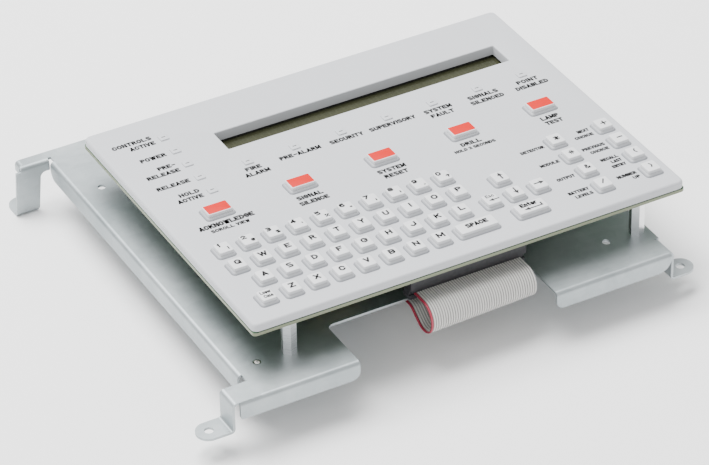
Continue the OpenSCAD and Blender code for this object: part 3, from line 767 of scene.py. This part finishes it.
for text, wide, y in (("NEXT", 6.3, -149.3), ("CHOICE", 10.0, -153.5),
                      ("PREVIOUS", 12.2, -163.4), ("CHOICE", 10.0, -167.3),
                      ("RECALL", 9.4, -175.1), ("LAST", 5.7, -178.5), ("ENTRY", 7.4, -182.3),
                      ("NUMBER", 10.4, -191.1), ("UP", 3.8, -194.6)):
    label([(text, wide)], 109.0, y, cap=2.4, align=1)
print_piece("mat_printing", printed, "panel")


# ---- Display ----
# Two-line liquid crystal module under the window: a folded black steel bezel, glass
# with a dark olive polariser, and the ghost of its character cells.
black_steel = speckled("black_bezel", (0.010, 0.011, 0.009), (0.022, 0.023, 0.020), 600.0, 0.4)
finish_node("lcd_bezel", black_steel)
polariser = Mat("olive_polariser", roughness=0.16, Coat_Weight=0.15)
cells = polariser.node("ShaderNodeTexBrick", {"offset": 0.0, "squash": 1.0},
                       {"Vector": polariser.place(), "Scale": 1.0, "Mortar Size": 0.0004,
                        "Brick Width": 0.00372, "Row Height": 0.0062}, "Fac")
haze = polariser.noise(40.0, 3.0)
polariser.set("Base Color", polariser.mix(
    haze * 0.6 + cells * 0.15, (0.030, 0.032, 0.017), (0.060, 0.063, 0.034)))
polariser.set("Roughness", haze * 0.1 + 0.14)
finish_node("lcd_glass", polariser)
light_guide = speckled("light_guide", (0.72, 0.73, 0.68), (0.82, 0.83, 0.78), 120.0, 0.4)
finish_node("lcd_backlight", light_guide)


# ---- Ribbon cable and its sockets ----
# Flat cable of stranded wires in grey vinyl, bonded side by side, with a red wire at its
# edge. It is pressed onto the contacts of black sockets and loops round to the plate.
WIRES, WIRE_PITCH = 44, 1.27
RIBBON_X = 12.2
EXIT_Z, UNDER_Z = 34.3, 27 - 1.2 - 0.35 - 0.45
HEADER_Y, LOOP_Y, LOOP_R, RISE = -197.6, -208.3, 7.5, 35
TURN_R, DIP_Z, DIP, CLIP_Y, FAR_Y = 6.0, 20.6, 30, -174.7, -140.7


def arc(cx, cz, r, start, stop, n):
    for k in range(n + 1):
        a = math.radians(start + (stop - start) * k / n)
        yield (cx + r * math.cos(a), cz + r * math.sin(a))


def ribbon_path(loop_r):
    """Middle line of the ribbon seen from its side, from one socket to the other."""
    sin, cos = (lambda a: math.sin(math.radians(a))), (lambda a: math.cos(math.radians(a)))
    path = [(HEADER_Y + 3.0, EXIT_Z), (HEADER_Y - 3.2, EXIT_Z), (LOOP_Y + 2.0, EXIT_Z)]
    cz = EXIT_Z - loop_r
    path += arc(LOOP_Y, cz, loop_r, 90, 270 + RISE, 30)
    start = (LOOP_Y + loop_r * sin(RISE), cz - loop_r * cos(RISE))
    run = (UNDER_Z - TURN_R * (1 - cos(RISE)) - start[1]) / sin(RISE)
    end = (start[0] + run * cos(RISE), start[1] + run * sin(RISE))
    path += arc(end[0] + TURN_R * sin(RISE), end[1] - TURN_R * cos(RISE), TURN_R,
                90 + RISE, 90, 8)
    dip_y = CLIP_Y + 12
    path += arc(dip_y, UNDER_Z - TURN_R, TURN_R, 90, 90 - DIP, 6)
    length = (UNDER_Z - DIP_Z - 2 * TURN_R * (1 - cos(DIP))) / sin(DIP)
    y1 = dip_y + TURN_R * sin(DIP) + length * cos(DIP)
    z1 = UNDER_Z - TURN_R * (1 - cos(DIP)) - length * sin(DIP)
    path += arc(y1 + TURN_R * sin(DIP), z1 + TURN_R * cos(DIP), TURN_R, 270 - DIP, 270, 6)
    path.append((FAR_Y + 3.0, DIP_Z))
    return path


bm = bmesh.new()
SIDES, WIRE_HALF_W, WIRE_HALF_T = 8, 0.66, 0.47
for wire in range(WIRES):
    x = RIBBON_X + (wire - (WIRES - 1) / 2) * WIRE_PITCH
    path = ribbon_path(LOOP_R + 0.35 - 0.7 * wire / (WIRES - 1))
    loops = []
    for k, (y, z) in enumerate(path):
        before, after = path[max(k - 1, 0)], path[min(k + 1, len(path) - 1)]
        along = Vector((0, after[0] - before[0], after[1] - before[1])).normalized()
        lift = Vector((1, 0, 0)).cross(along)
        loop = []
        for s in range(SIDES):
            a = 2 * math.pi * (s + 0.5) / SIDES
            side, up = WIRE_HALF_W * math.cos(a), WIRE_HALF_T * math.sin(a)
            loop.append(bm.verts.new(((x + side) * MM, (y + lift.y * up) * MM,
                                      (z + lift.z * up) * MM)))
        loops.append(loop)
    for low, high in zip(loops, loops[1:]):
        bridge(bm, low, high)
    bm.faces.new(loops[0][::-1])
    bm.faces.new(loops[-1])
bmesh.ops.recalc_face_normals(bm, faces=bm.faces)
vinyl = Mat("grey_vinyl", roughness=0.42)
across = (vinyl.axes()[0] - (RIBBON_X - WIRES * WIRE_PITCH / 2) * MM) / (WIRE_PITCH * MM)
# Painted shade and highlight: each wire is coloured darker in the grooves between wires and
# lighter along its crest, on both the grey and the red wire.
wire_shading = (across * (2 * math.pi)).math("COSINE") * -0.5 + 0.5
grey = vinyl.mix(wire_shading, (0.27, 0.265, 0.25), (0.66, 0.65, 0.63))
marked = vinyl.mix(wire_shading, (0.22, 0.012, 0.03), (0.40, 0.035, 0.07))
vinyl.set("Base Color", vinyl.mix(across.below(0.97), grey, marked))
vinyl.set("Roughness", vinyl.noise(300.0).ramp(0.3, 0.7, 0.34, 0.5))
ribbon = piece("ribbon_wires", bm, [vinyl], "panel", 80)
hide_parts("ribbon_cable")
black_nylon = speckled("black_nylon", (0.016, 0.016, 0.019), (0.030, 0.030, 0.034), 500.0,
                       0.45, 0.00002)
for name in ("ribbon_header", "ribbon_socket", "far_socket", "lcd_pin_strip"):
    finish_node(name, black_nylon)
contact = speckled("contact_metal", (0.62, 0.48, 0.20), (0.80, 0.66, 0.34), 900.0, 0.25,
                   metallic=1.0)
finish_node("header_pins", contact)
clip_nylon = speckled("white_nylon", (0.66, 0.66, 0.62), (0.76, 0.76, 0.72), 90.0, 0.45,
                      0.00002)
finish_node("cable_clip", clip_nylon)


# ---- Chips and trimmer ----
# Moulded epoxy packages with tinned leads, soldered to the underside of the board, and a
# blue contrast trimmer with a slotted white rotor.
epoxy = speckled("chip_epoxy", (0.016, 0.016, 0.018), (0.030, 0.030, 0.033), 700.0, 0.5,
                 0.00002)
for name in ("controller_chip", "driver_chips"):
    finish_node(name, epoxy)
finish_node("resistor_networks", speckled("dipped_epoxy", (0.30, 0.19, 0.05),
                                          (0.42, 0.27, 0.08), 200.0, 0.3))
finish_node("trimmer_body", speckled("blue_plastic", (0.03, 0.09, 0.34), (0.05, 0.14, 0.46),
                                     300.0, 0.4))
finish_node("trimmer_rotor", speckled("white_rotor", (0.74, 0.74, 0.70), (0.84, 0.84, 0.80),
                                      300.0, 0.4))


# ---- Solder joints ----
# Small bright cones of solder on the underside of the board, where the two leads of
# each status lamp come through.
solder = Mat("solder", 0.22, 1.0)
solder_cloud = solder.noise(900.0)
solder.set("Base Color", solder.mix(solder_cloud, (0.62, 0.63, 0.64), (0.82, 0.83, 0.84)))
solder.set("Roughness", solder_cloud * 0.2 + 0.14)
cone = bmesh.new()
rings = []
for r, z in ((0.85, 0.0), (0.62, -0.18), (0.42, -0.5), (0.3, -0.85)):
    rings.append([cone.verts.new((r * math.cos(-k * math.pi / 4) * MM,
                                  r * math.sin(-k * math.pi / 4) * MM, z * MM))
                  for k in range(8)])
for low, high in zip(rings, rings[1:]):
    bridge(cone, low, high)
cone.faces.new(rings[0][::-1])
cone.faces.new(rings[-1])
BOARD_BOTTOM = 46.05
joints = [(x + s * 1.27, y, BOARD_BOTTOM) for x, y in lamps for s in (-1, 1)
          if not (-61 < x < 124 and -86 < y < -52)]
repeated("solder_joints", cone, joints, solder, "panel", 50)


# ---- Floor and light ----
# A plain pale floor, one large soft light from above and behind, a weak one from the
# front left, and an even white sky.
floor_mesh = bpy.data.meshes.new("floor")
floor_mesh.from_pydata([(-6, -6, 0), (6, -6, 0), (6, 6, 0), (-6, 6, 0)], [], [(0, 1, 2, 3)])
floor = bpy.data.objects.new("floor", floor_mesh)
bpy.context.scene.collection.objects.link(floor)
paper = Mat("pale_paper", 0.9)
paper.set("Base Color", paper.mix(paper.noise(3.0), (0.93, 0.93, 0.93), (0.95, 0.95, 0.95)))
floor_mesh.materials.append(paper.data)
world = bpy.data.worlds.new("sky")
bpy.context.scene.world = world
world.use_nodes = True
sky = world.node_tree.nodes["Background"]
sky.inputs["Color"].default_value = (1, 1, 1, 1)
sky.inputs["Strength"].default_value = 0.95
for name, where, size, power in (("key_light", (-0.3, 0.55, 1.9), 1.5, 115),
                                 ("fill_light", (-1.4, -1.2, 0.9), 1.2, 6)):
    lamp_data = bpy.data.lights.new(name, "AREA")
    lamp_data.size = size
    lamp_data.energy = power
    lamp = bpy.data.objects.new(name, lamp_data)
    bpy.context.scene.collection.objects.link(lamp)
    lamp.location = where
    aim = (Vector((0, -0.12, 0.03)) - lamp.location).normalized()
    lamp.rotation_euler = aim.to_track_quat("-Z", "Y").to_euler()
